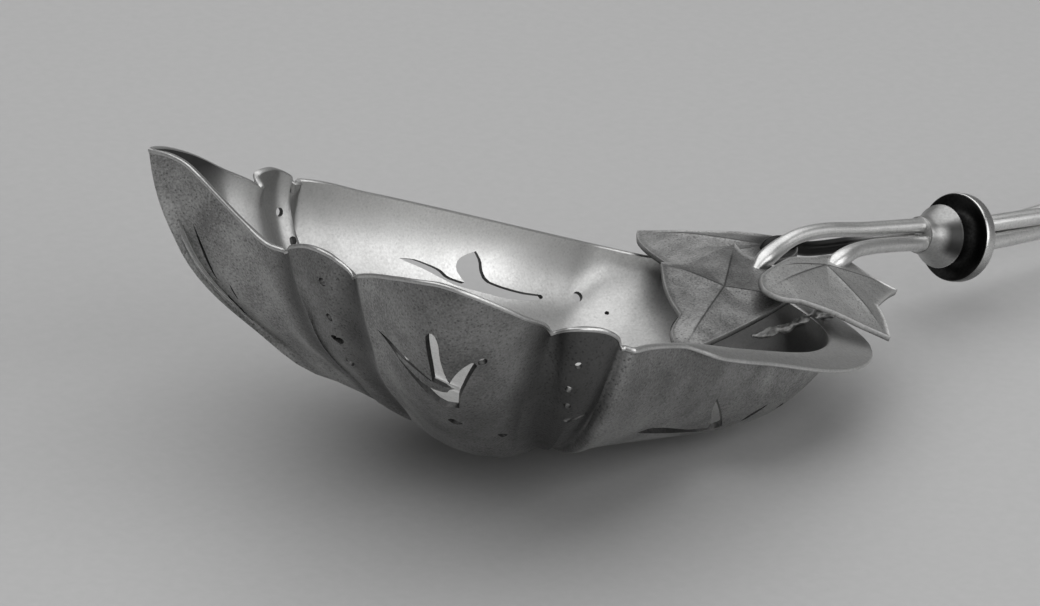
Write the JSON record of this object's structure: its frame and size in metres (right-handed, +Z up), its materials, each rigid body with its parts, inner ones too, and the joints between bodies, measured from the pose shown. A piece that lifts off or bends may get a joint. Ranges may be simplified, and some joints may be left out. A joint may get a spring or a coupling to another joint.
{
  "type": "sifter ladle",
  "caption": "Sugar sifter ladle with a lobed, pierced bowl under ivy leaves, arched stems, a turned knop and a twined handle, for sprinkling sugar over food.",
  "frame": {"origin": "where the bottom of the bowl rests on the table, in the ladle's middle plane", "axes": "+X along the table towards the end of the handle, +Y towards the bowl's far side in the picture, +Z up from the table"},
  "size_m": [0.1678, 0.0468, 0.0278],
  "materials": {
    "bowl_silver": "satin silver, frosted outside and brighter inside",
    "leaf_silver": "matte cast silver with fine veins",
    "stem_silver": "polished silver",
    "knop_silver": "polished turned silver",
    "solder": "dull silver solder"
  },
  "bodies": {
    "root": {"bowl": "bowl_silver", "leaf_front": "leaf_silver", "leaf_near": "leaf_silver", "leaf_far": "leaf_silver", "stem_front": "stem_silver", "stem_near": "stem_silver", "stem_far": "stem_silver", "solder_front": "solder", "solder_near": "solder", "solder_far": "solder", "bell_ferrule": "knop_silver", "ring_collar": "knop_silver", "shaft_strand_1": "stem_silver", "shaft_strand_2": "stem_silver", "shaft_strand_3": "stem_silver", "end_cap": "stem_silver"}
  },
  "joints": []
}
